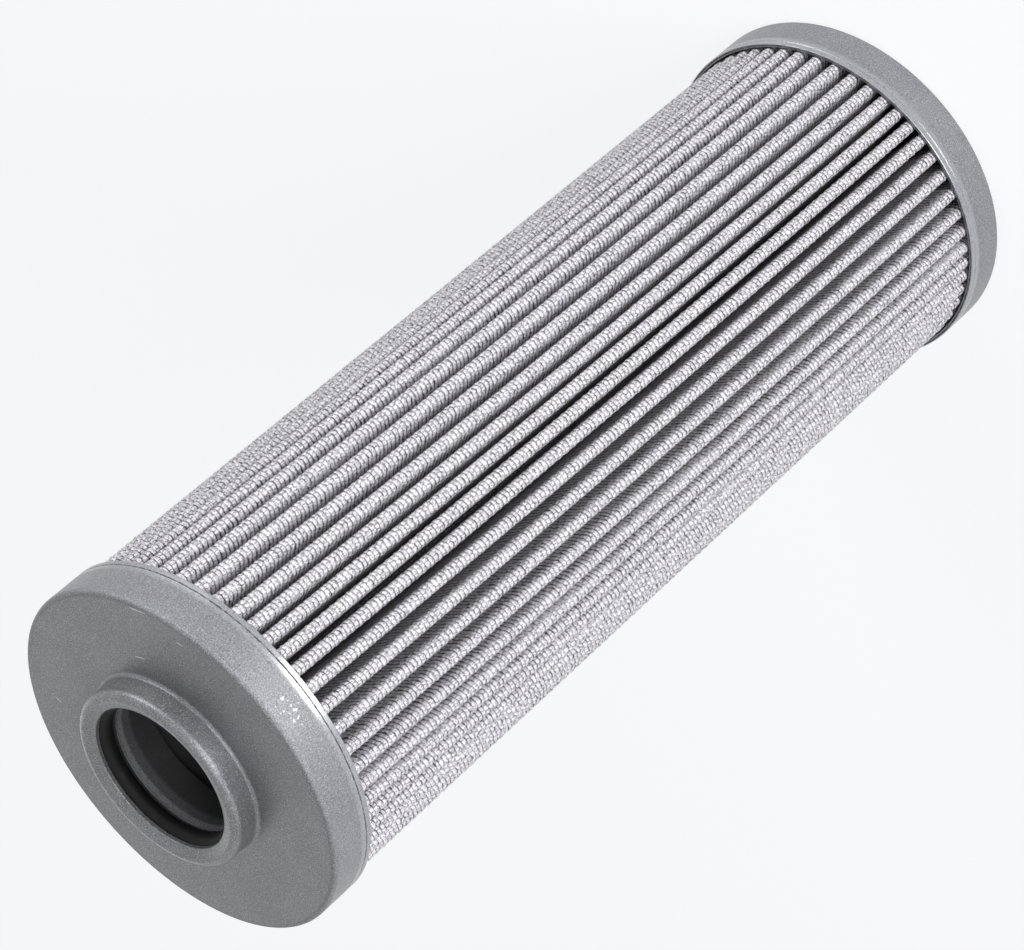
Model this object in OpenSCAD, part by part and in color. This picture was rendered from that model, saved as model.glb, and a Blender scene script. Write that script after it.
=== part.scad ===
// Pleated hydraulic filter element, standing on its closed end, neck up.
// The axis is Z and the closed cap's outer face lies at Z = 0.

/* [Body] */
// Outer diameter of both end caps
cap_d = 70; // [66:1:80]
// Length from the closed cap's face to the open cap's face
body_h = 196; // [100:1:260]
// Thickness of the caps' sheet steel
cap_sheet = 0.8; // [0.6:0.05:0.9]
// Height of each cap's skirt, measured from the cap's face
skirt_h = 9.2; // [8.6:0.1:14]
// Outer radius of the bend between a cap's face and its skirt
cap_bend_r = 1.0; // [0.95:0.05:1.6]
// Distance of the trim line above the skirt's free edge
trim_h = 1.0; // [0.7:0.1:2]
// Width and twice the depth of the trim line
trim_w = 0.3; // [0.2:0.05:0.5]

/* [Spigot and seal] */
// Bore of the sleeve for the spigot. The seal, neck, support tube and inner folds follow from it
spigot_bore_d = 27.2; // [22:0.1:34]
// Radial step by which the O-ring stands in past the sleeve's bore
seal_step = 0.2; // [0.1:0.05:0.4]
// Cord thickness of the O-ring
seal_cord_d = 3.3; // [2.6:0.1:3.6]
// Radial gap between the O-ring and the neck
seal_gap = 0.6; // [0.4:0.1:1.2]
// Length of the sleeve, its flange included
sleeve_h = 8.2; // [5:0.1:14]
// Wall of the sleeve below its flange
sleeve_wall = 0.8; // [0.6:0.1:1.4]
// Thickness of the flange that the O-ring lies on
flange_h = 1.7; // [1.2:0.1:2.4]
// Radius of the rounded edge at the sleeve's mouth
sleeve_edge_r = 0.2; // [0.1:0.05:0.4]

/* [Neck] */
// Height of the neck above the open cap's face
neck_h = 5.3; // [4.6:0.1:8]
// Outer radius of the bend at the neck's top
neck_bend_r = 1.4; // [0.95:0.05:1.6]
// Angle at which the lip falls inwards from that bend
lip_slope = 25; // [0:1:30]
// Radial clearance between the lip's bore and the sleeve's bore
lip_gap = 0.9; // [0.5:0.1:1.5]
// Radius of the hollow bend at the neck's root
neck_root_r = 0.7; // [0.3:0.05:1]

/* [Support tube] */
// Radial clearance between the perforated support tube and the neck
tube_gap = 0.3; // [0.2:0.05:0.6]
// Wall of the support tube
tube_wall = 1.0; // [0.8:0.1:1.4]
// Diameter of its flow holes
hole_d = 6.5; // [4:0.1:7]
// Flow holes in one ring
holes_around = 10; // [8:1:12]
// Distance between the rings of holes
hole_pitch = 9.6; // [8:0.1:14]
// Plain tube left at each end
plain_end = 12; // [10:0.5:20]

/* [Pleats] */
// Distance between neighbouring inner folds, which the number of pleats follows
root_pitch = 2.04; // [2.04:0.01:2.8]
// Width of one pleat across its rounded tip
fold_w = 2.45; // [2.2:0.05:2.6]
// Radial gap between the pleat tips and the caps' skirts
tip_gap = 0.2; // [0.2:0.1:1]
// Radial gap between the inner folds and the support tube
root_gap = 0.1; // [0.05:0.05:0.3]
// Gap left between the two faces of an inner fold, half of it
fold_gap = 0.1; // [0.05:0.01:0.1]
// Side step by which the pleats wander from even spacing, in degrees
wander = 1.07; // [0:0.01:1.07]
// Number of times the wander repeats around the element
wander_waves = 6; // [4:1:6]
// Turn of the first pleat, in degrees
first_pleat = 2.02; // [0:0.01:6]
// Turn of the wander's start, in degrees
wander_start = 329.6; // [0:0.1:360]
// Pleat that holds the bonded seam, on the back
seam_pleat = 13; // [0:1:30]

/* [Layers] */
// Thickness of the outer support mesh
outer_mesh_t = 0.2; // [0.1:0.01:0.2]
// Thickness of the outer fleece
outer_fleece_t = 0.1; // [0.06:0.01:0.1]
// Thickness of the filter medium
medium_t = 0.25; // [0.15:0.01:0.26]
// Thickness of the inner fleece
inner_fleece_t = 0.1; // [0.06:0.01:0.1]
// Thickness of the inner support mesh
inner_mesh_t = 0.12; // [0.08:0.01:0.12]

/* [Adhesive] */
// Adhesive between a cap's face and the ends of the pleats
bond_base_h = 2; // [1.4:0.1:3]
// Depth to which the pleat ends stand in the adhesive
bond_depth = 3; // [1.5:0.1:4]

/* [Hidden] */
$fn = 96;
// Straight steps in a sheet bend and in a fold's rounded tip and root
BEND_STEPS = 6;
TIP_STEPS = 6;
ROOT_STEPS = 3;
// How far a cutter runs past the wall it opens
CUT = 1;

cap_r = cap_d / 2;
skirt_in_r = cap_r - cap_sheet;

// From the spigot's bore outwards: seal, lip, neck and tube
spigot_r = spigot_bore_d / 2;
seal_cord_r = seal_cord_d / 2;
seal_r = spigot_r - seal_step + seal_cord_r;
lip_r = spigot_r + lip_gap;
neck_in_r = seal_r + seal_cord_r + seal_gap;
neck_r = neck_in_r + cap_sheet;
tube_r = neck_in_r - tube_gap;

// Heights above the open cap's face: the lip falls from its bend to the edge of its bore
lip_start = [neck_r - neck_bend_r, neck_h - neck_bend_r] + polar(neck_bend_r, 90 + lip_slope);
lip_edge_h = lip_start.y - (lip_start.x - lip_r) * tan(lip_slope);
lip_cut = cap_sheet / cos(lip_slope);

// The O-ring lies between the lip's sloping underside and the sleeve's flange
seal_roof_z = body_h + lip_edge_h - lip_cut + (seal_r - lip_r) * tan(lip_slope);
seal_z = seal_roof_z - seal_cord_r / cos(lip_slope);
flange_top_z = seal_z - seal_cord_r;

// The support tube stands on the closed cap and carries the sleeve's flange
tube_low_z = cap_sheet;
tube_h = flange_top_z - flange_h - tube_low_z;

// The pleats stand between the two adhesive beds
pleat_low_z = cap_sheet + bond_base_h;
pleat_high_z = body_h - cap_sheet - bond_base_h;
pack_t = outer_mesh_t + outer_fleece_t + medium_t + inner_fleece_t + inner_mesh_t;
half_t = pack_t / 2;
tip_r = fold_w / 2 - half_t;
root_r = half_t + fold_gap;
tip_centre_r = skirt_in_r - tip_gap - fold_w / 2;
root_centre_r = tube_r + root_gap + root_r + half_t;
pleat_count = floor(2 * PI * root_centre_r / root_pitch);

// Each layer lies between two distances from the pack's middle, outwards positive
mesh_face = half_t;
fleece_face = mesh_face - outer_mesh_t;
medium_face = fleece_face - outer_fleece_t;
inner_fleece_face = medium_face - medium_t;
inner_mesh_face = inner_fleece_face - inner_fleece_t;
clean_face = -half_t;

function polar(r, a) = [r * cos(a), r * sin(a)];

// Points on an arc about a centre, from angle a0 to a1
function arc(centre, r, a0, a1, steps) =
    [for (k = [0:steps]) centre + polar(r, a0 + (a1 - a0) * k / steps)];

// Direction of pleat number i; half numbers are the folds between two pleats
function even_angle(i) = first_pleat + 360 * i / pleat_count;
function pleat_angle(i) =
    even_angle(i) + wander * sin(wander_waves * even_angle(i) + wander_start);

// One pleat's rounded tip, for a surface that lies offset from the pack's middle
function tip_points(i, offset) =
    let (a = pleat_angle(i))
    arc(polar(tip_centre_r, a), tip_r + offset, a - 90, a + 90, TIP_STEPS);

// The rounded root that follows the tip
function root_points(i, offset) =
    let (a = pleat_angle(i + 0.5))
    arc(polar(root_centre_r, a), root_r - offset, a - 90, a - 270, ROOT_STEPS);

// The whole pleated outline of that surface, once around the element
function pleated(offset) =
    [for (i = [0:pleat_count - 1])
        for (p = concat(tip_points(i, offset), root_points(i, offset))) p];

// Outline of a skirt in the radius-height plane, from its bend to its free edge
// and back, with the trim line near the edge
function skirt_outside() = [
    [cap_r, skirt_h - trim_h - trim_w],
    [cap_r - trim_w / 2, skirt_h - trim_h - trim_w / 2],
    [cap_r, skirt_h - trim_h],
    [cap_r, skirt_h],
    [skirt_in_r, skirt_h]
];

function bend_outside() =
    arc([cap_r - cap_bend_r, cap_bend_r], cap_bend_r, -90, 0, BEND_STEPS);

function bend_inside() =
    arc([cap_r - cap_bend_r, cap_bend_r], cap_bend_r - cap_sheet, 0, -90, BEND_STEPS);

// Drawn cup with a plain bottom
module closed_end_cap() {
    color([0.62, 0.63, 0.64])
    rotate_extrude()
    polygon(concat(
        [[0, 0]], bend_outside(), skirt_outside(), bend_inside(), [[0, cap_sheet]]
    ));
}

// Outline of the neck in the same plane, measured from the cap's outer face
function neck_points() = concat(
    [[lip_r, -lip_edge_h + lip_cut], [lip_r, -lip_edge_h]],
    arc([neck_r - neck_bend_r, -neck_h + neck_bend_r], neck_bend_r,
        -90 - lip_slope, 0, BEND_STEPS),
    arc([neck_r + neck_root_r, -neck_root_r], neck_root_r, 180, 90, BEND_STEPS)
);

function neck_inside() = concat(
    arc([neck_r + neck_root_r, -neck_root_r], neck_root_r + cap_sheet, 90, 180, BEND_STEPS),
    arc([neck_r - neck_bend_r, -neck_h + neck_bend_r], neck_bend_r - cap_sheet,
        0, -90 - lip_slope, BEND_STEPS)
);

// Drawn cap with a raised neck and a lip that slopes inwards over the seal
module open_end_cap() {
    color([0.62, 0.63, 0.64])
    translate([0, 0, body_h])
    mirror([0, 0, 1])
    rotate_extrude()
    polygon(concat(
        neck_points(), bend_outside(), skirt_outside(), bend_inside(), neck_inside()
    ));
}

module o_ring() {
    color([0.05, 0.05, 0.05])
    translate([0, 0, seal_z])
    rotate_extrude()
    translate([seal_r, 0])
    circle(r = seal_cord_r);
}

// Turned sleeve that closes the seal's groove and guides the spigot. Its flange is
// as wide as the support tube that it stands on.
module seal_retainer() {
    color([0.50, 0.50, 0.51])
    translate([0, 0, flange_top_z])
    rotate_extrude()
    polygon(concat(
        [[tube_r, -flange_h], [tube_r, 0]],
        arc([spigot_r + sleeve_edge_r, -sleeve_edge_r], sleeve_edge_r, 90, 180, BEND_STEPS),
        [
            [spigot_r, -sleeve_h],
            [spigot_r + sleeve_wall, -sleeve_h],
            [spigot_r + sleeve_wall, -flange_h]
        ]
    ));
}

// Rings of flow holes, every second ring turned by half a step
module flow_holes() {
    span = tube_h - 2 * plain_end;
    rings = floor(span / hole_pitch) + 1;
    low_z = (tube_h - (rings - 1) * hole_pitch) / 2;
    for (j = [0:rings - 1])
        for (k = [0:holes_around - 1])
            rotate([0, 0, (k + (j % 2) / 2) * 360 / holes_around])
            translate([tube_r - tube_wall - CUT, 0, low_z + j * hole_pitch])
            rotate([0, 90, 0])
            cylinder(d = hole_d, h = tube_wall + 2 * CUT);
}

module support_tube() {
    color([0.55, 0.56, 0.57])
    translate([0, 0, tube_low_z])
    difference() {
        cylinder(r = tube_r, h = tube_h);
        translate([0, 0, -CUT]) cylinder(r = tube_r - tube_wall, h = tube_h + 2 * CUT);
        flow_holes();
    }
}

// Section of a pleated sheet between two distances from the pack's middle
module pleated_section(outer_face, inner_face) {
    difference() {
        polygon(pleated(outer_face));
        polygon(pleated(inner_face));
    }
}

module pleated_layer(outer_face, inner_face) {
    translate([0, 0, pleat_low_z])
    linear_extrude(pleat_high_z - pleat_low_z)
    pleated_section(outer_face, inner_face);
}

module outer_mesh() {
    color([0.78, 0.79, 0.80]) pleated_layer(mesh_face, fleece_face);
}

module outer_fleece() {
    color([0.93, 0.93, 0.91]) pleated_layer(fleece_face, medium_face);
}

module filter_medium() {
    color([0.96, 0.95, 0.90]) pleated_layer(medium_face, inner_fleece_face);
}

module inner_fleece() {
    color([0.90, 0.90, 0.88]) pleated_layer(inner_fleece_face, inner_mesh_face);
}

module inner_mesh() {
    color([0.70, 0.71, 0.72]) pleated_layer(inner_mesh_face, clean_face);
}

// Section of the space inside the seam pleat, from its tip to its mouth
module seam_section() {
    before = root_points(seam_pleat - 1, clean_face);
    after = root_points(seam_pleat, clean_face);
    polygon(concat([before[ROOT_STEPS]], tip_points(seam_pleat, clean_face), [after[0]]));
}

// Adhesive that fills the seam pleat, where the ends of the sheets meet
module seam_bond() {
    color([0.80, 0.76, 0.62])
    translate([0, 0, pleat_low_z])
    linear_extrude(pleat_high_z - pleat_low_z)
    seam_section();
}

// Adhesive bed in a cap, with the pleat ends standing in it. It is drawn for the
// closed end, and its chamfer clears the bend inside the cap.
module adhesive_bed() {
    chamfer = cap_bend_r - cap_sheet;
    color([0.20, 0.20, 0.21])
    difference() {
        translate([0, 0, cap_sheet])
        rotate_extrude()
        polygon([
            [tube_r, 0], [skirt_in_r - chamfer, 0], [skirt_in_r, chamfer],
            [skirt_in_r, bond_base_h + bond_depth], [tube_r, bond_base_h + bond_depth]
        ]);
        translate([0, 0, pleat_low_z])
        linear_extrude(bond_depth + CUT) {
            pleated_section(mesh_face, clean_face);
            seam_section();
        }
    }
}

module closed_end_adhesive() {
    adhesive_bed();
}

module open_end_adhesive() {
    translate([0, 0, body_h]) mirror([0, 0, 1]) adhesive_bed();
}

closed_end_cap();
closed_end_adhesive();
open_end_cap();
open_end_adhesive();
o_ring();
seal_retainer();
support_tube();
outer_mesh();
outer_fleece();
filter_medium();
inner_fleece();
inner_mesh();
seam_bond();
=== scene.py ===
import bpy
import numpy as np
from mathutils import Matrix, Vector


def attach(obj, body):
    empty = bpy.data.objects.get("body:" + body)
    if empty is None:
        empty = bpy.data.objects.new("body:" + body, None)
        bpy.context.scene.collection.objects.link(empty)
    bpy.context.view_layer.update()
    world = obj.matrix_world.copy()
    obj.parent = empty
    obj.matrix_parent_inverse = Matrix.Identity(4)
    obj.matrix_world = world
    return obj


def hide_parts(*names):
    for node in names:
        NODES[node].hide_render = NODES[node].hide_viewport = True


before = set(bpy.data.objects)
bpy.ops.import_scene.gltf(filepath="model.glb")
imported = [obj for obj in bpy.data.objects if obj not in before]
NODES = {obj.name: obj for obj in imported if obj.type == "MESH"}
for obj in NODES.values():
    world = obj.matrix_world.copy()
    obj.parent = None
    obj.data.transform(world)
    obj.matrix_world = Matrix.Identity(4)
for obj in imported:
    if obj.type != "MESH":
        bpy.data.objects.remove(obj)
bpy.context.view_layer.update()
MM = 0.001

# Driving sizes of the part's source, in millimetres: caps and body
CAP_R = 35.0
BODY_H = 196.0
SHEET = 0.8
SKIRT_H = 9.2
CAP_BEND_R = 1.0
TRIM_H = 1.0
TRIM_W = 0.3

# Spigot's bore, seal and sleeve
SPIGOT_R = 13.6
SEAL_STEP = 0.2
SEAL_CORD_R = 1.65
SEAL_GAP = 0.6
SLEEVE_H = 8.2
SLEEVE_WALL = 0.8
SLEEVE_EDGE_R = 0.2
FLANGE_H = 1.7

# Neck, lip and support tube
NECK_H = 5.3
NECK_BEND_R = 1.4
NECK_ROOT_R = 0.7
LIP_SLOPE = np.radians(25)
LIP_GAP = 0.9
TUBE_GAP = 0.3

# Pleats, their wander in degrees, and the pleat that holds the seam
PLEATS = 55
FOLD_W = 2.45
TIP_GAP = 0.2
ROOT_GAP = 0.1
FOLD_GAP = 0.1
WANDER = 1.07
WANDER_WAVES = 6
FIRST_PLEAT = 2.02
WANDER_START = 329.6
SEAM_PLEAT = 13

# Adhesive under the ends of the pleats, and the depth to which they stand in it
BOND_BASE_H = 2.0
BOND_DEPTH = 3.0

# Hidden layers: node, slot, and the depth of both faces below the pack's outer face.
# The fleece starts lower than in the source, under the weave's grooves.
LAYERS = (
    ("outer_fleece", "fleece", 0.27, 0.3),
    ("filter_medium", "medium", 0.3, 0.55),
    ("inner_fleece", "fleece", 0.55, 0.65),
    ("inner_mesh", "inner_wire", 0.65, 0.77),
)
PACK_T = LAYERS[-1][3]

# From the spigot's bore outwards: seal, lip, neck and tube
SEAL_R = SPIGOT_R - SEAL_STEP + SEAL_CORD_R
LIP_R = SPIGOT_R + LIP_GAP
NECK_IN_R = SEAL_R + SEAL_CORD_R + SEAL_GAP
NECK_R = NECK_IN_R + SHEET
TUBE_R = NECK_IN_R - TUBE_GAP

# The lip falls from the neck's bend to the edge of its bore; heights are above the cap's face
LIP_FALL = np.tan(LIP_SLOPE)
LIP_CUT = SHEET / np.cos(LIP_SLOPE)
LIP_START_R = NECK_R - NECK_BEND_R - NECK_BEND_R * np.sin(LIP_SLOPE)
LIP_START_H = NECK_H - NECK_BEND_R + NECK_BEND_R * np.cos(LIP_SLOPE)
LIP_EDGE_H = LIP_START_H - (LIP_START_R - LIP_R) * LIP_FALL

# The O-ring lies between the lip's sloping underside and the sleeve's flange
SEAL_ROOF_Z = BODY_H + LIP_EDGE_H - LIP_CUT + (SEAL_R - LIP_R) * LIP_FALL
SEAL_Z = SEAL_ROOF_Z - SEAL_CORD_R / np.cos(LIP_SLOPE)
FLANGE_TOP_Z = SEAL_Z - SEAL_CORD_R

# The pleats stand between the beds, from the skirts' inside to the support tube
TIP_OUT_R = FOLD_W / 2
TIP_CENTRE_R = CAP_R - SHEET - TIP_GAP - TIP_OUT_R
ROOT_CENTRE_R = TUBE_R + ROOT_GAP + FOLD_GAP + PACK_T
PLEAT_LOW_Z = SHEET + BOND_BASE_H
PLEAT_HIGH_Z = BODY_H - PLEAT_LOW_Z
BOND_TOP = PLEAT_LOW_Z + BOND_DEPTH

# Small edge breaks of the caps, the sleeve and the beds, and the gap between a bed and the steel
EDGE_BREAK = 0.1
FREE_EDGE_BREAK = 0.12
BED_BREAK = 0.3
BED_GAP = 0.02

# Twist of the pleat pack, in degrees per cap radius of height and per its square
TWIST_MIDDLE_Z = 94.5
TWIST_RATE = 0.76
TWIST_GROWTH = 0.143

# Weave of the outer mesh: the strands' spacing, and how deep the grooves and pits go
PITCH = 1.003
GROOVE_DEPTH = 0.25
PIT_DEPTH = 0.10

# Fine grid: its first row, its rows of strands and the steps in each, its columns in half strands
FINE_LOW_Z = 8.6
FINE_ROWS = 178
ROW_STEPS = 3
COLUMN_STEPS = (-8, -6, -4, -3, -2, -1, 0, 1, 2, 3, 4, 6, 8)
PLEATS_A_PIECE = 11

# Depth of the fine grid's outer edges, just under the plain flanks
EDGE_SINK = 0.26

# Unevenness of the pleats: the strands' shift round the tip, the tip's lean, the rows' wobble
TIP_SHIFT = 0.24
TIP_LEAN = 0.05
ROW_WOBBLE = 0.12

# Plain flank: distances from the tip's middle, each with its depth, and the heights of its rows
FLANK_STEPS = ((3.3, 0.25), (3.9, 0.24), (6.0, 0.12), (9.0, 0.08), (12.0, 0.04))
FLANK_HEIGHTS = (PLEAT_LOW_Z, 8.0, 30, 60, 98, 136, 166, 188.0, PLEAT_HIGH_Z)
FOLD_BOTTOM_STEP = 0.15

# Plain tip inside a cap: half its width round the tip, its depth, and its columns and rows
END_HALF_WIDTH = 3.6
END_SINK = 0.12
END_COLUMNS = 13
END_ROWS = 5
END_OVERLAP = 0.2

# Levels of points along a hidden sheet
SHEET_LEVELS = 9

# Steps in the bends of a profile, and round the axis
RIM_STEPS = 10
NECK_STEPS = 12
SMALL_STEPS = 6
INNER_STEPS = 4
CORD_STEPS = 40
CAP_TURN_STEPS = 256
SEAL_TURN_STEPS = 192
BED_TURN_STEPS = 128

# Radius of the closed cap's open middle, so small that it doesn't show
HUB_R = 0.02

# The photograph's camera, fitted to the outlines of both caps: place, the picture's right and up
CAMERA_PLACE = Vector((-0.418, -580.997, 496.794))
CAMERA_RIGHT = Vector((-0.65701, -0.42048, -0.62573))
CAMERA_UP = Vector((0.75388, -0.36645, -0.54532))
LENS = 135.86
SENSOR_WIDTH = 36


def set_camera():
    """Camera at the photograph's viewing angle"""
    back = CAMERA_RIGHT.cross(CAMERA_UP).normalized()
    up = back.cross(CAMERA_RIGHT).normalized()
    data = bpy.data.cameras.new("photo_camera")
    data.sensor_width = SENSOR_WIDTH
    data.lens = LENS
    data.clip_start = 0.05
    data.clip_end = 20
    camera = bpy.data.objects.new("photo_camera", data)
    turn = Matrix((CAMERA_RIGHT.normalized(), up, back)).transposed()
    camera.matrix_world = Matrix.Translation(CAMERA_PLACE * MM) @ turn.to_4x4()
    bpy.context.scene.collection.objects.link(camera)
    bpy.context.scene.camera = camera


# Mesh building


def add_mesh(name, verts, quads, uvs=None, sharp_deg=35):
    """Object from points in millimetres and faces of four corners"""
    mesh = bpy.data.meshes.new(name)
    mesh.vertices.add(len(verts))
    mesh.vertices.foreach_set("co", (verts * MM).astype(np.float32).ravel())
    mesh.loops.add(4 * len(quads))
    mesh.loops.foreach_set("vertex_index", quads.astype(np.int32).ravel())
    mesh.polygons.add(len(quads))
    mesh.polygons.foreach_set("loop_start", np.arange(0, 4 * len(quads), 4, dtype=np.int32))
    if uvs is not None:
        layer = mesh.uv_layers.new(name="weave")
        layer.data.foreach_set("uv", uvs[quads.ravel()].astype(np.float32).ravel())
    mesh.update(calc_edges=True)
    mesh.validate()
    mesh.polygons.foreach_set("use_smooth", np.ones(len(mesh.polygons), dtype=bool))
    if sharp_deg:
        mesh.set_sharp_from_angle(angle=np.radians(sharp_deg))
    piece = bpy.data.objects.new(name, mesh)
    bpy.context.scene.collection.objects.link(piece)
    return piece


def arc(centre, radius, start, end, steps):
    """Points on an arc, its angles in degrees"""
    a = np.radians(np.linspace(start, end, steps + 1))
    return [(centre[0] + radius * np.cos(x), centre[1] + radius * np.sin(x)) for x in a]


def refined(profile):
    """Closed profile with points close to each corner, so that flat faces shade flat"""
    corner_gap, longest_step, shortest_face = 0.06, 3, 0.45
    out = []
    for k, point in enumerate(profile):
        a = np.array(point, float)
        b = np.array(profile[(k + 1) % len(profile)], float)
        length = np.linalg.norm(b - a)
        out.append(a)
        if length > shortest_face:
            shares = [corner_gap / length]
            inner = int(length // longest_step)
            shares += [(n + 1) / (inner + 1) for n in range(inner)]
            shares.append(1 - corner_gap / length)
            out += [a + (b - a) * s for s in shares]
    return np.array(out)


def lathe(name, profile, steps):
    """Closed profile of radius and height, revolved about Z"""
    ring = refined(profile)
    turn = np.arange(steps) * 2 * np.pi / steps
    count = len(ring)
    x = np.outer(np.cos(turn), ring[:, 0])
    y = np.outer(np.sin(turn), ring[:, 0])
    z = np.tile(ring[:, 1], (steps, 1))
    verts = np.stack([x, y, z], -1).reshape(-1, 3)
    i = np.arange(steps)[:, None]
    j = np.arange(count)[None, :]
    i2 = (i + 1) % steps
    j2 = (j + 1) % count
    quads = np.stack([i * count + j, i2 * count + j, i2 * count + j2, i * count + j2], -1)
    return add_mesh(name, verts, quads.reshape(-1, 4))


def skirt_outside():
    """Skirt in radius and depth below the cap's face, with the trim line near its edge"""
    low = SKIRT_H - TRIM_H
    return [
        (CAP_R, low - TRIM_W),
        (CAP_R - TRIM_W / 2, low - TRIM_W / 2),
        (CAP_R, low),
        (CAP_R, SKIRT_H - FREE_EDGE_BREAK),
        (CAP_R - FREE_EDGE_BREAK, SKIRT_H),
        (CAP_R - SHEET + EDGE_BREAK, SKIRT_H),
        (CAP_R - SHEET, SKIRT_H - EDGE_BREAK),
    ]


def build_closed_cap():
    """Cup at the bottom, with a plain face"""
    centre = (CAP_R - CAP_BEND_R, CAP_BEND_R)
    profile = [(HUB_R, 0)]
    profile += arc(centre, CAP_BEND_R, -90, 0, RIM_STEPS)
    profile += skirt_outside()
    profile += arc(centre, CAP_BEND_R - SHEET, 0, -90, INNER_STEPS)
    profile += [(HUB_R, SHEET)]
    piece = lathe("closed_cap_shell", profile, CAP_TURN_STEPS)
    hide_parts("closed_end_cap")
    return piece


def build_open_cap():
    """Cap with the neck and its sloping lip, drawn in radius and depth below its face"""
    top = (NECK_R - NECK_BEND_R, -NECK_H + NECK_BEND_R)
    root = (NECK_R + NECK_ROOT_R, -NECK_ROOT_R)
    rim = (CAP_R - CAP_BEND_R, CAP_BEND_R)
    bend_start = -90 - np.degrees(LIP_SLOPE)
    profile = [
        (LIP_R + EDGE_BREAK, LIP_CUT - LIP_EDGE_H - EDGE_BREAK * LIP_FALL),
        (LIP_R, LIP_CUT - LIP_EDGE_H - EDGE_BREAK),
        (LIP_R, FREE_EDGE_BREAK - LIP_EDGE_H),
        (LIP_R + FREE_EDGE_BREAK, -LIP_EDGE_H - FREE_EDGE_BREAK * LIP_FALL),
    ]
    profile += arc(top, NECK_BEND_R, bend_start, 0, NECK_STEPS)
    profile += arc(root, NECK_ROOT_R, 180, 90, SMALL_STEPS)
    profile += arc(rim, CAP_BEND_R, -90, 0, RIM_STEPS)
    profile += skirt_outside()
    profile += arc(rim, CAP_BEND_R - SHEET, 0, -90, INNER_STEPS)
    profile += arc(root, NECK_ROOT_R + SHEET, 90, 180, SMALL_STEPS)
    profile += arc(top, NECK_BEND_R - SHEET, 0, bend_start, INNER_STEPS)
    profile = [(r, BODY_H - depth) for r, depth in profile]
    piece = lathe("open_cap_shell", profile[::-1], CAP_TURN_STEPS)
    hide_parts("open_end_cap")
    return piece


def build_seal():
    """O-ring in the neck"""
    profile = arc((SEAL_R, SEAL_Z), SEAL_CORD_R, 0, 360, CORD_STEPS)[:-1]
    piece = lathe("seal_ring", profile, SEAL_TURN_STEPS)
    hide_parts("o_ring")
    return piece


def build_sleeve():
    """Sleeve that holds the O-ring, with its flange on the support tube"""
    edge = (SPIGOT_R + SLEEVE_EDGE_R, FLANGE_TOP_Z - SLEEVE_EDGE_R)
    low_z = FLANGE_TOP_Z - SLEEVE_H
    under_z = FLANGE_TOP_Z - FLANGE_H
    outer_r = SPIGOT_R + SLEEVE_WALL
    profile = [(TUBE_R, under_z), (TUBE_R, FLANGE_TOP_Z)]
    profile += arc(edge, SLEEVE_EDGE_R, 90, 180, SMALL_STEPS)
    profile += [(SPIGOT_R, low_z + EDGE_BREAK), (SPIGOT_R + EDGE_BREAK, low_z)]
    profile += [(outer_r - EDGE_BREAK, low_z), (outer_r, low_z + EDGE_BREAK), (outer_r, under_z)]
    piece = lathe("sleeve_shell", profile, SEAL_TURN_STEPS)
    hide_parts("seal_retainer")
    return piece


# Pleats


def pleat_angle(i):
    """Direction of pleat i in degrees, as in the part's source"""
    even = FIRST_PLEAT + 360 * i / PLEATS
    return even + WANDER * np.sin(np.radians(WANDER_WAVES * even + WANDER_START))


def unit(deg):
    """Direction at an angle in degrees"""
    a = np.radians(deg)
    return np.array([np.cos(a), np.sin(a)])


def twisted(points):
    """Points turned about the pack's axis, as the real pack is slightly twisted"""
    w = (points[..., 2] - TWIST_MIDDLE_Z) / CAP_R
    turn = np.radians(TWIST_RATE * w + TWIST_GROWTH * w * w)
    x = points[..., 0] * np.cos(turn) - points[..., 1] * np.sin(turn)
    y = points[..., 0] * np.sin(turn) + points[..., 1] * np.cos(turn)
    return np.stack([x, y, points[..., 2]], -1)


class PleatOutline:
    """Outer face of one pleat as a curve, by distance from the middle of its tip"""

    def __init__(self, i):
        self.out = unit(pleat_angle(i))
        self.side = np.array([-self.out[1], self.out[0]])
        self.centre = TIP_CENTRE_R * self.out
        self.half_arc = TIP_OUT_R * np.pi / 2
        self.ends = {}
        for s in (-1, 1):
            start = self.centre + s * TIP_OUT_R * self.side
            root_dir = unit(pleat_angle(i + s / 2))
            root_side = np.array([-root_dir[1], root_dir[0]])
            end = ROOT_CENTRE_R * root_dir - s * FOLD_GAP * root_side
            along = end - start
            length = np.linalg.norm(along)
            along = along / length
            normal = np.array([-along[1], along[0]])
            if normal @ (s * self.side) < 0:
                normal = -normal
            bottom = (ROOT_CENTRE_R - FOLD_GAP) * root_dir
            self.ends[s] = (start, along, length, normal, bottom)

    def at(self, u):
        """Point and outward normal at distance u"""
        if abs(u) <= self.half_arc:
            a = u / TIP_OUT_R
            normal = np.cos(a) * self.out + np.sin(a) * self.side
            return self.centre + TIP_OUT_R * normal, normal
        s = 1 if u > 0 else -1
        start, along, _, normal, _ = self.ends[s]
        return start + (abs(u) - self.half_arc) * along, normal


def weave_drop(u, z):
    """Depth of the woven face below its outer limit"""
    rounding = 1e-6
    row = np.floor(z / PITCH + rounding)
    share = z / PITCH - row
    across = np.abs(2 * share - 1)
    crown = 1 - across ** 3
    pit = 0.5 + 0.5 * np.cos(np.pi * (u / PITCH + row))
    return GROOVE_DEPTH * (1 - crown) + PIT_DEPTH * pit * crown


def slow_wave(i, z):
    """Slow unevenness along pleat i, from -1 to 1"""
    long_wave, short_wave = 23.0, 9.1
    start = 1.7 * i + 3.1
    short = np.sin(z / short_wave + 2.3 * start + 1)
    return 0.6 * np.sin(z / long_wave + start) + 0.4 * short


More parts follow.
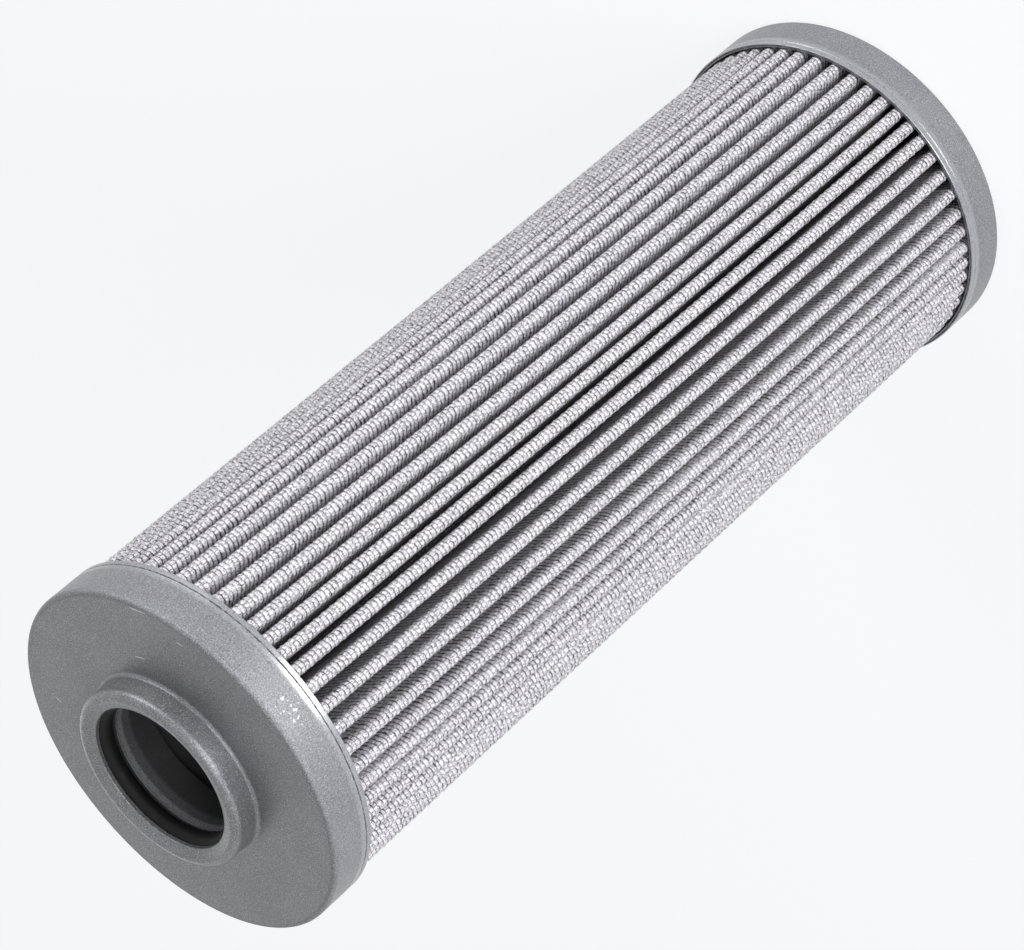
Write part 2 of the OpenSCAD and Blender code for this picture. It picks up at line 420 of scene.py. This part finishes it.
def pleat_grid(i):
    """Fine woven grid on a pleat's tip and upper flanks: points, weave coordinates"""
    outline = PleatOutline(i)
    shift = TIP_SHIFT * np.sin(2.4 * i + 0.8)
    wobble_wave = 17.0
    rows = FINE_ROWS * ROW_STEPS + 1
    weave_z = np.arange(rows) * PITCH / ROW_STEPS
    z = FINE_LOW_Z + weave_z
    points, coords = [], []
    for k in COLUMN_STEPS:
        u = k * PITCH / 2
        place, normal = outline.at(u + shift)
        drop = weave_drop(u, weave_z)
        if abs(k) == COLUMN_STEPS[-1]:
            drop = np.full(rows, EDGE_SINK)
        lean = TIP_LEAN * slow_wave(i, z)
        xy = place[None, :] - drop[:, None] * normal[None, :]
        xy = xy + lean[:, None] * outline.side[None, :]
        wobble = ROW_WOBBLE * np.sin(z / wobble_wave + 0.9 * i) * (k / COLUMN_STEPS[-1])
        points.append(np.column_stack([xy, z + wobble]))
        coords.append(np.column_stack([np.full(rows, u), weave_z]))
    return np.array(points), np.array(coords)


def pleat_flank(i, s):
    """Plain grid from under the fine one down to the inner fold"""
    outline = PleatOutline(i)
    _, _, length, _, bottom = outline.ends[s]
    z = np.array(FLANK_HEIGHTS)
    last = outline.half_arc + length
    points, coords = [], []
    for u, sink in FLANK_STEPS + ((last, 0.0),):
        place, out = outline.at(s * u)
        xy = place - sink * out
        points.append(np.column_stack([np.tile(xy, (len(z), 1)), z]))
        coords.append(np.column_stack([np.full(len(z), s * u), z - FINE_LOW_Z]))
    points.append(np.column_stack([np.tile(bottom, (len(z), 1)), z]))
    bottom_u = s * (last + FOLD_BOTTOM_STEP)
    coords.append(np.column_stack([np.full(len(z), bottom_u), z - FINE_LOW_Z]))
    return np.array(points), np.array(coords)


def pleat_end(i, z0, z1):
    """Plain tip inside a cap, where only its shape is seen"""
    outline = PleatOutline(i)
    z = np.linspace(z0, z1, END_ROWS)
    points, coords = [], []
    for u in np.linspace(-END_HALF_WIDTH, END_HALF_WIDTH, END_COLUMNS):
        place, normal = outline.at(u)
        xy = place - END_SINK * normal
        points.append(np.column_stack([np.tile(xy, (END_ROWS, 1)), z]))
        coords.append(np.column_stack([np.full(END_ROWS, u), z - FINE_LOW_Z]))
    return np.array(points), np.array(coords)


def grid_faces(columns, rows, first):
    """Faces of a grid whose points are numbered from first, column by column"""
    i = np.arange(columns - 1)[:, None]
    j = np.arange(rows - 1)[None, :]
    a = first + i * rows + j
    return np.stack([a, a + rows, a + rows + 1, a + 1], -1).reshape(-1, 4)


def tip_line(i, depth, steps=8):
    """Tip of pleat i on the face that lies depth below the outer one"""
    outline = PleatOutline(i)
    a = np.radians(np.linspace(-90, 90, steps + 1))
    normals = np.outer(np.cos(a), outline.out) + np.outer(np.sin(a), outline.side)
    return outline.centre + (TIP_OUT_R - depth) * normals


def root_line(i, depth, steps=4):
    """Inner fold between pleats i and i + 1, on the face that lies depth below the outer one"""
    out = unit(pleat_angle(i + 0.5))
    side = np.array([-out[1], out[0]])
    a = np.radians(np.linspace(-90, 90, steps + 1))
    normals = np.outer(-np.cos(a), out) + np.outer(np.sin(a), side)
    return ROOT_CENTRE_R * out + (FOLD_GAP + depth) * normals


def layer_line(depth):
    """The whole pleated line of the face that lies depth below the outer one"""
    lines = []
    for i in range(PLEATS):
        lines += [tip_line(i, depth), root_line(i, depth)]
    return np.concatenate(lines)


def twisted_sheet(name, outer, inner, closed):
    """Sheet between two lines of points, along the whole pack"""
    levels = np.linspace(PLEAT_LOW_Z, PLEAT_HIGH_Z, SHEET_LEVELS)
    if closed:
        section = np.concatenate([outer, outer[:1], inner[:1], inner[::-1]])
    else:
        section = np.concatenate([outer, inner[::-1]])
    verts = np.concatenate(
        [np.column_stack([section, np.full(len(section), z)]) for z in levels]
    )
    size = len(section)
    j = np.arange(len(levels) - 1)[:, None] * size
    k = np.arange(size)[None, :]
    k2 = (k + 1) % size
    walls = np.stack([j + k, j + k2, j + size + k2, j + size + k], -1).reshape(-1, 4)
    k = np.arange(size // 2 - 1)
    low = np.stack([k, size - 1 - k, size - 2 - k, k + 1], -1)
    high = low[:, ::-1] + (len(levels) - 1) * size
    return add_mesh(name, twisted(verts), np.concatenate([walls, low, high]))


def build_layers():
    """The hidden sheets of the pack and the seam's adhesive, twisted like the outer mesh"""
    pieces = {}
    for name, slot, top, bottom in LAYERS:
        piece = twisted_sheet(name + "_sheet", layer_line(top), layer_line(bottom), True)
        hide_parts(name)
        pieces[name] = piece
    tip = tip_line(SEAM_PLEAT, PACK_T)
    middle = len(tip) // 2
    before = root_line(SEAM_PLEAT - 1, PACK_T)[-1:]
    after = root_line(SEAM_PLEAT, PACK_T)[:1]
    left = np.concatenate([before, tip[: middle + 1]])
    right = np.concatenate([after, tip[:middle:-1], tip[middle : middle + 1]])
    piece = twisted_sheet("seam_filling", left, right, False)
    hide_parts("seam_bond")
    pieces["seam_bond"] = piece
    return pieces


def build_beds():
    """Adhesive beds in the caps, which the twisted pleats stand in"""
    inner_r = TUBE_R + BED_GAP
    outer_r = CAP_R - SHEET - BED_GAP
    profile = [(inner_r, SHEET), (outer_r - BED_BREAK, SHEET), (outer_r, SHEET + BED_BREAK)]
    profile += [(outer_r, BOND_TOP), (inner_r, BOND_TOP)]
    pieces = []
    for node, flip in (("closed_end_adhesive", False), ("open_end_adhesive", True)):
        ring = profile
        if flip:
            ring = [(r, BODY_H - z) for r, z in profile][::-1]
        piece = lathe(node + "_bed", ring, BED_TURN_STEPS)
        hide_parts(node)
        pieces.append(piece)
    return pieces


def build_pleats():
    """The outer mesh, in pieces of a few pleats each"""
    pieces = []
    fine_high_z = FINE_LOW_Z + FINE_ROWS * PITCH
    for start in range(0, PLEATS, PLEATS_A_PIECE):
        verts, coords, quads = [], [], []
        count = 0
        for i in range(start, min(start + PLEATS_A_PIECE, PLEATS)):
            grids = [
                (pleat_grid(i), False),
                (pleat_flank(i, -1), True),
                (pleat_flank(i, 1), False),
                (pleat_end(i, PLEAT_LOW_Z, FINE_LOW_Z + END_OVERLAP), False),
                (pleat_end(i, fine_high_z - END_OVERLAP, PLEAT_HIGH_Z), False),
            ]
            for (points, uv), flip in grids:
                columns, rows = points.shape[:2]
                faces = grid_faces(columns, rows, count)
                quads.append(faces[:, ::-1] if flip else faces)
                verts.append(points.reshape(-1, 3))
                coords.append(uv.reshape(-1, 2))
                count += columns * rows
        name = "mesh_pleats_%d" % (start // PLEATS_A_PIECE + 1)
        points = twisted(np.concatenate(verts))
        uvs = np.concatenate(coords)
        piece = add_mesh(name, points, np.concatenate(quads), uvs, sharp_deg=0)
        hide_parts("outer_mesh")
        pieces.append(piece)
    return pieces


# Materials


class Nodes:
    """Short calls for a material's nodes"""

    def __init__(self, name):
        self.material = bpy.data.materials.new(name)
        self.material.use_nodes = True
        self.tree = self.material.node_tree
        self.shader = self.tree.nodes["Principled BSDF"]

    def put(self, socket, value):
        """Socket linked to another node's output, or set to a plain value"""
        if hasattr(value, "is_output"):
            self.tree.links.new(value, socket)
        else:
            socket.default_value = value

    def math(self, operation, a, b=0.0, c=0.0):
        node = self.tree.nodes.new("ShaderNodeMath")
        node.operation = operation
        self.put(node.inputs[0], a)
        self.put(node.inputs[1], b)
        self.put(node.inputs[2], c)
        return node.outputs[0]

    def times(self, a, b):
        return self.math("MULTIPLY", a, b)

    def ramp(self, value, low, high, to_low=0.0, to_high=1.0):
        """Value from low to high becomes to_low to to_high, smoothly"""
        node = self.tree.nodes.new("ShaderNodeMapRange")
        node.interpolation_type = "SMOOTHSTEP"
        self.put(node.inputs["Value"], value)
        self.put(node.inputs["From Min"], low)
        self.put(node.inputs["From Max"], high)
        self.put(node.inputs["To Min"], to_low)
        self.put(node.inputs["To Max"], to_high)
        return node.outputs["Result"]

    def zone(self, value, limits):
        """0 to 1 between two limits in millimetres"""
        return self.ramp(value, limits[0] * MM, limits[1] * MM)

    def blend(self, share, a, b):
        node = self.tree.nodes.new("ShaderNodeMix")
        node.data_type = "RGBA"
        self.put(node.inputs[0], share)
        self.put(node.inputs[6], a)
        self.put(node.inputs[7], b)
        return node.outputs[2]

    def place(self):
        node = self.tree.nodes.new("ShaderNodeTexCoord")
        return node.outputs["Object"]

    def split(self, vector):
        node = self.tree.nodes.new("ShaderNodeSeparateXYZ")
        self.put(node.inputs[0], vector)
        return node.outputs

    def noise(self, vector, scale, detail=2.0, rough=0.5):
        node = self.tree.nodes.new("ShaderNodeTexNoise")
        self.put(node.inputs["Vector"], vector)
        node.inputs["Scale"].default_value = scale
        node.inputs["Detail"].default_value = detail
        node.inputs["Roughness"].default_value = rough
        return node.outputs["Fac"]

    def vector(self, operation, a, b, output):
        node = self.tree.nodes.new("ShaderNodeVectorMath")
        node.operation = operation
        self.put(node.inputs[0], a)
        self.put(node.inputs[1], b)
        return node.outputs[output]

    def length(self, vector):
        return self.vector("LENGTH", vector, (0, 0, 0), "Value")

    def offset(self, place, point):
        """Vector to the place from a point given in millimetres"""
        return self.vector("SUBTRACT", place, [c * MM for c in point], "Vector")

    def scratch(self, place, centre, along, length):
        """1 on a thin straight mark, its middle and length in millimetres"""
        offset = self.offset(place, centre)
        run = self.vector("DOT_PRODUCT", offset, along, "Value")
        reach_squared = self.math("POWER", self.length(offset), 2.0)
        gap_squared = self.math("SUBTRACT", reach_squared, self.math("POWER", run, 2.0))
        width = self.ramp(gap_squared, 0.04 * MM * MM, 0.006 * MM * MM)
        half = length * MM / 2
        return self.times(width, self.ramp(self.math("ABSOLUTE", run), half, half * 0.5))

    def bump(self, height, distance, strength=1.0):
        node = self.tree.nodes.new("ShaderNodeBump")
        node.inputs["Strength"].default_value = strength
        node.inputs["Distance"].default_value = distance
        self.put(node.inputs["Height"], height)
        self.put(self.shader.inputs["Normal"], node.outputs["Normal"])

    def set(self, **values):
        names = {"color": "Base Color", "metallic": "Metallic", "roughness": "Roughness"}
        for key, value in values.items():
            self.put(self.shader.inputs[names[key]], value)


def grey(level, tint=(1.0, 1.0, 1.0)):
    return (level * tint[0], level * tint[1], level * tint[2], 1.0)


# Tints of the steel and of the mesh
COOL = (0.99, 0.993, 1.045)
LILAC = (1.01, 0.99, 1.045)

# Light scratches on the open cap, in millimetres: middle, direction, length
SCRATCHES = (
    ((21.70, 17.52, 196.0), (-0.989, -0.149, 0.0), 1.6),
    ((17.19, -14.94, 196.0), (-0.573, -0.819, 0.0), 3.0),
    ((23.06, -24.81, 196.0), (-0.686, -0.728, 0.0), 4.6),
    ((17.60, -29.92, 194.8), (-0.806, -0.474, -0.353), 5.2),
    ((14.38, -28.09, 196.0), (-0.872, -0.489, 0.0), 1.6),
)
SCRATCH_SHARE = 0.75

# Scuffed patch on the open cap's skirt, where its highlight falls, with near-white specks as painted
# glints: its middle, and where the glints fade in
SCUFF_GLINT_MIDDLE = (-5.6, -34.5, 191.8)
SCUFF_GLINT_ZONE = (3.6, 2.2)

# Radii at which a cap's skirt and the bend of its face fade in
SKIRT_ZONE = (CAP_R - 0.5, CAP_R - 0.2)
RIM_ZONE = (CAP_R - 1.2, CAP_R - 0.8)

# Depths below the face at which the bend, the burnished skirt edge with its painted sheen, and the
# rolled edge fade in
BEND_ZONE = (1.2, 0.8)
BURNISH_AND_SHEEN_ZONE = (6.6, 7.2)
ROLLED_ZONE = (6.7, 9.6)

# Distances from the middle of the painted shade in the trim groove, and heights over which it grows
# from faint on the far cap to strong on the near
TRIM_SHADE_ZONE = (0.16, 0.07)
FAR_Z, NEAR_Z = 50, 100

# Heights in millimetres of the rolled skirt edge's slope and of the grain, as the bump shows them
ROLL_H = 0.34
GRAIN_H = 0.02

# Painted light and shade in the sleeve's mouth, lighter bands where light falls in over the darker
# deep bore: the heights between which each band begins, and its tone
SLEEVE_LIGHT_RINGS = ((192.6, 193.7, 0.19), (194.7, 195.2, 0.41), (195.9, 196.2, 0.14))


def cap_zones(n, place):
    """Depth below the nearer face, and shares of the skirt, its burnished edge with a painted sheen,
    and the face's bend
    """
    middle = BODY_H / 2 * MM
    z = n.split(place)[2]
    depth = n.math("SUBTRACT", middle, n.math("ABSOLUTE", n.math("SUBTRACT", z, middle)))
    radius = n.length(n.vector("MULTIPLY", place, (1, 1, 0), "Vector"))
    skirt = n.zone(radius, SKIRT_ZONE)
    burnish_and_sheen = n.times(skirt, n.zone(depth, BURNISH_AND_SHEEN_ZONE))
    bend = n.times(n.zone(depth, BEND_ZONE), n.zone(radius, RIM_ZONE))
    return depth, skirt, burnish_and_sheen, bend


def marked(n, place, tone):
    """Tone with the scratches of the open cap, and the painted glints of its scuffed patch"""
    scratched = grey(0.62, COOL)
    scuff_glint = grey(0.95)
    for centre, along, length in SCRATCHES:
        mark = n.times(n.scratch(place, centre, along, length), SCRATCH_SHARE)
        tone = n.blend(mark, tone, scratched)
    # Painted glints: near-white specks in the scuffed patch, where the skirt's highlight falls
    scuff_glint_share = n.ramp(n.noise(place, 1700, detail=1.0), 0.66, 0.72)
    inside = n.zone(n.length(n.offset(place, SCUFF_GLINT_MIDDLE)), SCUFF_GLINT_ZONE)
    return n.blend(n.times(scuff_glint_share, inside), tone, scuff_glint)


def trim_groove_shade(n, place, depth, skirt):
    """Share of the broken painted shade along the skirt's trim groove, fainter on the far cap"""
    line_depth = (SKIRT_H - TRIM_H - TRIM_W / 2) * MM
    off = n.math("ABSOLUTE", n.math("SUBTRACT", depth, line_depth))
    broken = n.ramp(n.noise(place, 1300, rough=0.6), 0.42, 0.54, 0.15, 0.9)
    line = n.times(n.times(n.zone(off, TRIM_SHADE_ZONE), broken), skirt)
    z = n.split(place)[2]
    return n.times(line, n.ramp(z, FAR_Z * MM, NEAR_Z * MM, 0.25, 0.85))


def cap_steel():
    """Matt plated sheet steel: fine grain, faint mottling, burnished skirt edges. Painted light:
    skirts lightened as a painted highlight, a painted sheen on their burnished edges, painted shade
    in the trim groove, and painted glints in the scuffed patch
    """
    dark, light = grey(0.202, COOL), grey(0.238, COOL)
    speck_and_sheen, pore = grey(0.55, COOL), grey(0.08, COOL)
    painted_sheen, trim_shade_tone = grey(0.62, COOL), grey(0.05, COOL)
    skirt_sheen_share, sheen_share, grain_share = 0.14, 0.30, 0.55
    n = Nodes("cap_steel")
    place = n.place()
    depth, skirt, burnish_and_sheen, bend = cap_zones(n, place)
    grain = n.noise(place, 4200, rough=0.6)
    mottle = n.noise(place, 90, detail=5.0, rough=0.65)
    tone = n.blend(n.ramp(mottle, 0.3, 0.7), dark, light)
    # Painted highlight: the skirts of both caps are lightened towards a bright grey
    tone = n.blend(n.times(skirt, skirt_sheen_share), tone, speck_and_sheen)
    # Painted sheen: the burnished skirt edge is lightened, besides its lower roughness
    tone = n.blend(n.times(burnish_and_sheen, sheen_share), tone, painted_sheen)
    # Grain: light and dark flecks, the light ones in the same grey as the skirts' painted highlight
    tone = n.blend(n.ramp(grain, 0.52, 0.68, 0.0, grain_share), tone, speck_and_sheen)
    tone = n.blend(n.ramp(grain, 0.48, 0.32, 0.0, grain_share), tone, pore)
    tone = marked(n, place, tone)
    # Painted shade in the trim groove
    tone = n.blend(trim_groove_shade(n, place, depth, skirt), tone, trim_shade_tone)
    rough = n.math("MULTIPLY_ADD", mottle, 0.12, 0.36)
    rough = n.math("SUBTRACT", rough, n.times(burnish_and_sheen, 0.18))
    rough = n.math("ADD", rough, n.times(bend, 0.2))
    n.set(color=tone, metallic=0.45, roughness=rough)
    rolled = n.times(skirt, n.zone(depth, ROLLED_ZONE))
    n.bump(n.math("MULTIPLY_ADD", rolled, ROLL_H * MM, n.times(grain, GRAIN_H * MM)), 1.0)
    return n.material


def sleeve_steel():
    """Dull turned steel, with painted rings of light and shade in its mouth"""
    dark, light, pore = grey(0.075, COOL), grey(0.105, COOL), grey(0.04, COOL)
    n = Nodes("sleeve_steel")
    place = n.place()
    z = n.split(place)[2]
    grain = n.noise(place, 3600)
    tone = n.blend(n.noise(place, 200, detail=3.0), dark, light)
    # Painted light and shade: lighter bands towards the mouth, where light falls in, the deeper bore
    # left darker
    for low, high, level in SLEEVE_LIGHT_RINGS:
        tone = n.blend(n.zone(z, (low, high)), tone, grey(level, COOL))
    tone = n.blend(n.ramp(grain, 0.52, 0.36, 0.0, 0.45), tone, pore)
    n.set(color=tone, metallic=0.35, roughness=0.45)
    n.bump(grain, 0.02 * MM, 0.5)
    return n.material


def tube_steel():
    """Rolled steel of the perforated tube"""
    dark, light = grey(0.18, COOL), grey(0.30, COOL)
    n = Nodes("tube_steel")
    place = n.place()
    tone = n.blend(n.noise(place, 180, detail=4.0), dark, light)
    n.set(color=tone, metallic=0.85, roughness=0.42)
    n.bump(n.noise(place, 1500, detail=3.0), 0.03 * MM, 0.5)
    return n.material


def seal_rubber():
    """Matt black rubber with a little dust"""
    black, dusty = grey(0.006), grey(0.016)
    n = Nodes("seal_rubber")
    place = n.place()
    dust = n.noise(place, 500, detail=4.0, rough=0.7)
    tone = n.blend(n.ramp(dust, 0.5, 0.8), black, dusty)
    n.set(color=tone, roughness=0.65)
    n.shader.inputs["Specular IOR Level"].default_value = 0.25
    n.bump(n.noise(place, 1800), 0.02 * MM, 0.4)
    return n.material


def adhesive():
    """Dark cast adhesive"""
    dark, light = grey(0.015), grey(0.045)
    n = Nodes("adhesive")
    place = n.place()
    tone = n.blend(n.noise(place, 300, detail=4.0), dark, light)
    n.set(color=tone, roughness=0.45)
    n.bump(n.noise(place, 400, detail=3.0), 0.1 * MM, 0.5)
    return n.material


def fleece(name, level):
    """Matt fibres, as light as level"""
    n = Nodes(name)
    fibres = n.noise(n.place(), 2500, detail=5.0, rough=0.7)
    tone = n.blend(fibres, grey(level * 0.85), grey(level))
    n.set(color=tone, roughness=0.9)
    n.bump(fibres, 0.05 * MM, 0.6)
    return n.material


def weave_lines(n, place):
    """Distances down the pleat and across a strand, and shares of the grooves and of the pits"""
    wave_height = 0.7
    node = n.tree.nodes.new("ShaderNodeUVMap")
    node.uv_map = "weave"
    u, z, _ = n.split(node.outputs["UV"])
    wave = n.math("SUBTRACT", n.noise(place, 650), 0.5)
    rows = n.math("MULTIPLY_ADD", wave, wave_height, n.math("DIVIDE", z, PITCH))
    share = n.math("FRACT", rows)
    across = n.math("ABSOLUTE", n.math("MULTIPLY_ADD", share, 2.0, -1.0))
    depth = n.math("ABSOLUTE", u)
    # The grooves' painted shade widens further from the tip's middle
    wider = n.math("ADD", across, n.ramp(depth, 1.0, 2.8, 0.0, 0.15))
    groove = n.ramp(wider, 0.70, 0.93)
    columns = n.math("DIVIDE", u, PITCH)
    brick = n.math("MULTIPLY_ADD", n.math("FLOOR", rows), 0.5, columns)
    near = n.math("ABSOLUTE", n.math("SUBTRACT", n.math("FRACT", brick), 0.5))
    pit = n.ramp(near, 0.38, 0.47)
    return depth, across, groove, pit


def wire_mesh():
    """Woven strands laid by the weave map, with painted shade in the grooves and pits, and painted
    shade darkening them down the flanks
    """
    light = 0.88
    groove_shade, pit_shade = grey(0.04, LILAC), grey(0.10, LILAC)
    wire_gap, strand_dark = grey(light * 0.22, LILAC), grey(light * 0.85, LILAC)
    flank_shade, deep_flank_shade = grey(light * 0.68, LILAC), grey(light * 0.62, LILAC)
    n = Nodes("wire_mesh")
    place = n.place()
    depth, across, groove, pit = weave_lines(n, place)
    strand = n.noise(place, 1400, detail=3.0, rough=0.6)
    tone = n.blend(strand, strand_dark, grey(light, LILAC))
    # Painted shade: the strands darken down the flanks, into the valleys between pleats
    tone = n.blend(n.ramp(depth, 1.6, 4.6), tone, flank_shade)
    tone = n.blend(n.ramp(depth, 4.2, 9.0), tone, deep_flank_shade)
    wires = n.noise(place, 3000, detail=3.0, rough=0.75)
    tone = n.blend(n.ramp(wires, 0.54, 0.38, 0.0, 0.85), tone, wire_gap)
    broken = n.ramp(n.noise(place, 1100, rough=0.6), 0.38, 0.58, 0.15, 0.9)
    # Painted shade in the pits where the strands cross
    tone = n.blend(n.times(pit, broken), tone, pit_shade)
    # Painted shade in the grooves between strands
    groove_shade_share = n.times(groove, n.ramp(broken, 0.15, 0.9, 0.55, 0.97))
    tone = n.blend(groove_shade_share, tone, groove_shade)
    n.set(color=tone, metallic=0.15, roughness=0.45)
    crown = n.math("SUBTRACT", 1.0, n.math("POWER", across, 3.0))
    n.bump(n.math("SUBTRACT", crown, n.times(pit, 0.35)), 0.12 * MM, 0.8)
    return n.material


def paint(target, material):
    target.data.materials.clear()
    target.data.materials.append(material)


# Stage and light

FLOOR_HALF = 3.0
FLOOR_DROP = 0.0003

# The floor's grey for the light that it throws back, its grey and glow as it is seen
FLOOR_LIT = 0.80
FLOOR_SEEN = 0.25
FLOOR_GLOW = 0.82
FLOOR_GLOW_COLOR = (0.985, 0.995, 1.01, 1)

# The world's light, and the backdrop as it is seen
WORLD_LIGHT = 0.25
BACKDROP_COLOR = (0.93, 0.94, 0.95, 1)

# Lamps: name, place, aim, width and height, power
MIDDLE = (0, 0, 0.1)
LAMPS = (
    ("front_lamp", (-0.35, -1.25, 0.20), MIDDLE, (1.0, 0.4), 4.6),
    ("left_lamp", (-1.25, -0.40, 0.25), MIDDLE, (0.8, 0.5), 1.5),
    ("right_lamp", (1.25, -0.40, 0.25), MIDDLE, (0.8, 0.5), 7.0),
    ("back_lamp", (0.2, 1.3, 0.25), MIDDLE, (0.9, 0.5), 1.5),
    ("low_lamp", (-0.15, -0.66, 0.04), (0, 0, 0.18), (0.34, 0.06), 1.5),
    ("key_lamp", (-0.42, -1.00, 0.85), MIDDLE, (0.55, 0.40), 4.5),
)


def seen_directly(nodes, links):
    """1 for camera, glossy and transmission rays, 0 for the others"""
    path = nodes.new("ShaderNodeLightPath")
    total = path.outputs["Is Camera Ray"]
    for name in ("Is Glossy Ray", "Is Transmission Ray"):
        node = nodes.new("ShaderNodeMath")
        node.operation = "MAXIMUM"
        links.new(total, node.inputs[0])
        links.new(path.outputs[name], node.inputs[1])
        total = node.outputs[0]
    return total


def color_by(nodes, links, seen, lit, shown):
    """Colour lit for the rays that light the scene, and shown for those that see it"""
    color = nodes.new("ShaderNodeMix")
    color.data_type = "RGBA"
    links.new(seen, color.inputs[0])
    color.inputs[6].default_value = lit
    color.inputs[7].default_value = shown
    return color.outputs[2]


def floor_material():
    material = bpy.data.materials.new("floor")
    material.use_nodes = True
    nodes, links = material.node_tree.nodes, material.node_tree.links
    nodes.clear()
    seen = seen_directly(nodes, links)
    color = color_by(nodes, links, seen, grey(FLOOR_LIT), grey(FLOOR_SEEN))
    diffuse = nodes.new("ShaderNodeBsdfDiffuse")
    links.new(color, diffuse.inputs["Color"])
    strength = nodes.new("ShaderNodeMath")
    strength.operation = "MULTIPLY"
    links.new(seen, strength.inputs[0])
    strength.inputs[1].default_value = FLOOR_GLOW
    glow = nodes.new("ShaderNodeEmission")
    glow.inputs["Color"].default_value = FLOOR_GLOW_COLOR
    links.new(strength.outputs[0], glow.inputs["Strength"])
    both = nodes.new("ShaderNodeAddShader")
    links.new(diffuse.outputs[0], both.inputs[0])
    links.new(glow.outputs[0], both.inputs[1])
    out = nodes.new("ShaderNodeOutputMaterial")
    links.new(both.outputs[0], out.inputs["Surface"])
    return material


def build_floor():
    half = FLOOR_HALF
    mesh = bpy.data.meshes.new("floor")
    corners = [(-half, -half, 0), (half, -half, 0), (half, half, 0), (-half, half, 0)]
    mesh.from_pydata(corners, [], [(0, 1, 2, 3)])
    mesh.materials.append(floor_material())
    floor = bpy.data.objects.new("floor", mesh)
    floor.location.z = -FLOOR_DROP
    bpy.context.scene.collection.objects.link(floor)


def build_world():
    world = bpy.data.worlds.new("studio")
    bpy.context.scene.world = world
    world.use_nodes = True
    nodes, links = world.node_tree.nodes, world.node_tree.links
    nodes.clear()
    seen = seen_directly(nodes, links)
    back = nodes.new("ShaderNodeBackground")
    color = color_by(nodes, links, seen, grey(WORLD_LIGHT), BACKDROP_COLOR)
    links.new(color, back.inputs["Color"])
    out = nodes.new("ShaderNodeOutputWorld")
    links.new(back.outputs[0], out.inputs["Surface"])


def add_lamp(name, place, aim, size, power):
    data = bpy.data.lights.new(name, "AREA")
    data.shape = "RECTANGLE"
    data.size, data.size_y = size
    data.energy = power
    lamp = bpy.data.objects.new(name, data)
    lamp.location = place
    look = Vector(aim) - Vector(place)
    lamp.rotation_mode = "QUATERNION"
    lamp.rotation_quaternion = look.to_track_quat("-Z", "Y")
    bpy.context.scene.collection.objects.link(lamp)


# The whole scene

# Lightness of the hidden sheets and of the seam
HIDDEN_SHEETS = (
    ("outer_fleece", 0.85),
    ("filter_medium", 0.88),
    ("inner_fleece", 0.85),
    ("inner_mesh", 0.45),
    ("seam_bond", 0.55),
)
HIDDEN_MESH = 0.7


def paint_all(caps, seal, sleeve, pleats, layers, beds):
    """Materials of every piece and of every CAD node"""
    steel = cap_steel()
    for target in caps + [NODES["closed_end_cap"], NODES["open_end_cap"]]:
        paint(target, steel)
    rubber = seal_rubber()
    for target in (seal, NODES["o_ring"]):
        paint(target, rubber)
    turned = sleeve_steel()
    for target in (sleeve, NODES["seal_retainer"]):
        paint(target, turned)
    weave = wire_mesh()
    for piece in pleats:
        paint(piece, weave)
    bed = adhesive()
    for target in beds + [NODES["closed_end_adhesive"], NODES["open_end_adhesive"]]:
        paint(target, bed)
    for name, level in HIDDEN_SHEETS:
        sheet = fleece(name, level)
        paint(NODES[name], sheet)
        paint(layers[name], sheet)
    paint(NODES["support_tube"], tube_steel())
    paint(NODES["outer_mesh"], fleece("outer_mesh_hidden", HIDDEN_MESH))


def main():
    set_camera()
    caps = [build_closed_cap(), build_open_cap()]
    seal = build_seal()
    sleeve = build_sleeve()
    pleats = build_pleats()
    layers = build_layers()
    beds = build_beds()
    for piece in caps + [seal, sleeve] + pleats + beds + list(layers.values()):
        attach(piece, "root")
    paint_all(caps, seal, sleeve, pleats, layers, beds)
    build_floor()
    build_world()
    for lamp in LAMPS:
        add_lamp(*lamp)
    bpy.context.scene.view_settings.view_transform = "Standard"


main()
